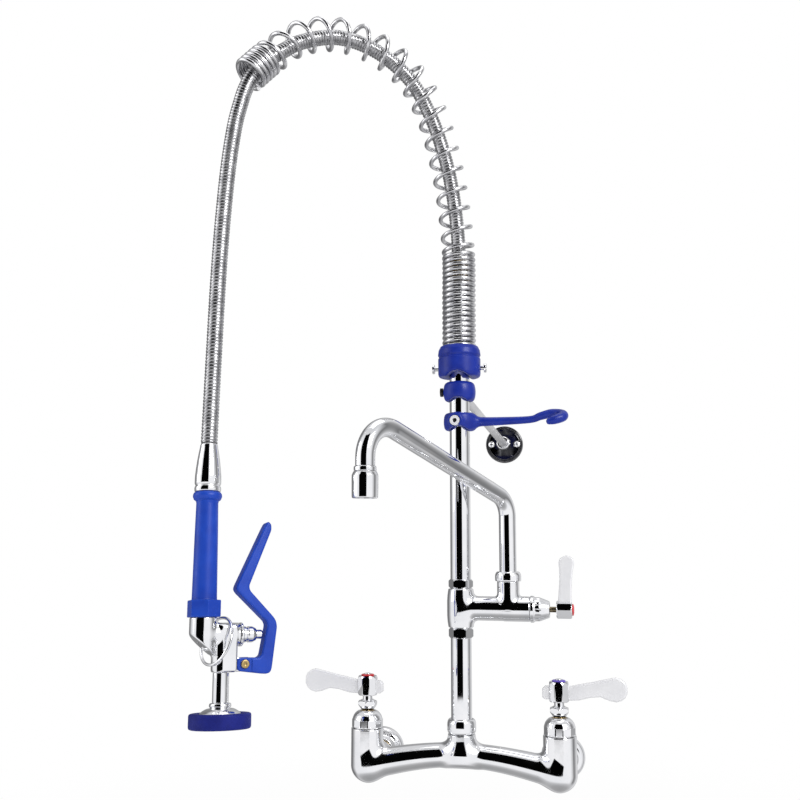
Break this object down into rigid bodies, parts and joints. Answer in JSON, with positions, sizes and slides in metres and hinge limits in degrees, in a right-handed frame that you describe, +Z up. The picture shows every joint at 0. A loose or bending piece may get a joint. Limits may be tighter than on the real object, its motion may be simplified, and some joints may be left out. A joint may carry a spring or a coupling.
{
  "type": "pre rinse faucet",
  "caption": "Wall-mounted pre-rinse faucet: mixing base with lever handles, riser with add-on swing spout, sprung gooseneck hose and squeeze spray valve.",
  "frame": {"origin": "midway between the two inlet axes, on the wall plane that the inlet flanges sit against", "axes": "+X from the hot inlet to the cold inlet, +Y into the wall, +Z up along the riser"},
  "size_m": [0.4008, 0.5042, 0.8262],
  "materials": {
    "chrome": "polished",
    "spring_steel": "drawn wire, bright",
    "rod_steel": "satin",
    "brass": "machined",
    "blue_coat": "semi-gloss moulded",
    "blue_rubber": "matte",
    "hose_steel": "interlocked strip",
    "red_index": "gloss",
    "violet_index": "gloss",
    "black_rubber": "matte",
    "black_steel": "black oxide"
  },
  "bodies": {
    "root": {"addon_body": "chrome", "addon_bonnet": "chrome", "addon_cartridge": "brass", "addon_lower_nut": "chrome", "addon_upper_nut": "chrome", "bracket_boss": "chrome", "bracket_clamp": "blue_coat", "bracket_flange": "chrome", "bracket_rod": "rod_steel", "bracket_screw": "black_steel", "clamp_screw_left": "chrome", "clamp_screw_right": "chrome", "cold_bonnet": "chrome", "cold_cartridge": "brass", "cold_coupling_nut": "chrome", "cold_flange": "chrome", "cold_inlet_shank": "brass", "cold_packing_nut": "chrome", "hook_clamp": "blue_coat", "hook_screw": "chrome", "hose": "hose_steel", "hose_coupling": "brass", "hot_bonnet": "chrome", "hot_cartridge": "brass", "hot_coupling_nut": "chrome", "hot_flange": "chrome", "hot_inlet_shank": "brass", "hot_packing_nut": "chrome", "lower_riser": "chrome", "mixing_body": "chrome", "riser_nut": "chrome", "spout_swivel_nut": "chrome", "spring_clamp": "blue_coat", "support_spring": "spring_steel", "upper_riser": "chrome"},
    "hot_control": {"hot_stem": "brass", "hot_handle": "chrome", "hot_index": "red_index"},
    "cold_control": {"cold_stem": "brass", "cold_handle": "chrome", "cold_index": "violet_index"},
    "addon_control": {"addon_stem": "brass", "addon_handle": "chrome", "addon_index": "red_index"},
    "spout": {"spout_tube": "chrome", "spout_o_ring": "black_rubber", "aerator_housing": "chrome"},
    "spray": {"hose_ferrule": "chrome", "grip": "blue_coat", "spray_body": "chrome", "spray_bonnet": "chrome", "spray_packing_nut": "chrome", "return_spring": "spring_steel", "lever_screw": "brass", "nozzle_tube": "chrome", "nozzle_face": "chrome", "bumper": "blue_rubber"},
    "lever": {"spray_lever": "blue_coat"},
    "plunger": {"spray_plunger": "brass"},
    "ring": {"hanger_ring": "spring_steel"}
  },
  "joints": [
    {"name": "hot_handle_turn", "type": "hinge", "parent": "root", "child": "hot_control", "pos_m": [-0.1016, -0.082, 0.08], "axis": [0, 0, 1], "range_deg": [0, 90]},
    {"name": "cold_handle_turn", "type": "hinge", "parent": "root", "child": "cold_control", "pos_m": [0.1016, -0.082, 0.08], "axis": [0, 0, 1], "range_deg": [-90, 0]},
    {"name": "addon_handle_turn", "type": "hinge", "parent": "root", "child": "addon_control", "pos_m": [0.1, -0.082, 0.1645], "axis": [1, 0, 0], "range_deg": [0, 90]},
    {"name": "spout_swing", "type": "hinge", "parent": "root", "child": "spout", "pos_m": [0.0507, -0.082, 0.19], "axis": [0, 0, 1], "range_deg": [-20, 120]},
    {"name": "spray_swing", "type": "hinge", "parent": "root", "child": "spray", "pos_m": [-0.21494, -0.24397, 0.6], "axis": [0.6018, -0.7986, 0], "range_deg": [-8, 8]},
    {"name": "lever_squeeze", "type": "hinge", "parent": "spray", "child": "lever", "pos_m": [-0.17915, -0.25489, 0.12288], "axis": [0.5994, -0.7929, 0.1098], "range_deg": [0, 12], "stiffness_Nm_per_rad": 0.5, "springref_deg": -5.73},
    {"name": "plunger_push", "type": "slide", "parent": "spray", "child": "plunger", "axis": [-0.7992, -0.6004, 0.0274], "range_m": [0, 0.0058], "deforming": ["return_spring"]},
    {"name": "ring_swing", "type": "hinge", "parent": "spray", "child": "ring", "pos_m": [-0.19578, -0.26167, 0.16472], "axis": [-0.5994, 0.7929, -0.1098], "range_deg": [0, 12]}
  ],
  "couplings": [
    {"joint": "plunger_push", "follows": "lever_squeeze", "m_per_rad": 0.0258}
  ]
}
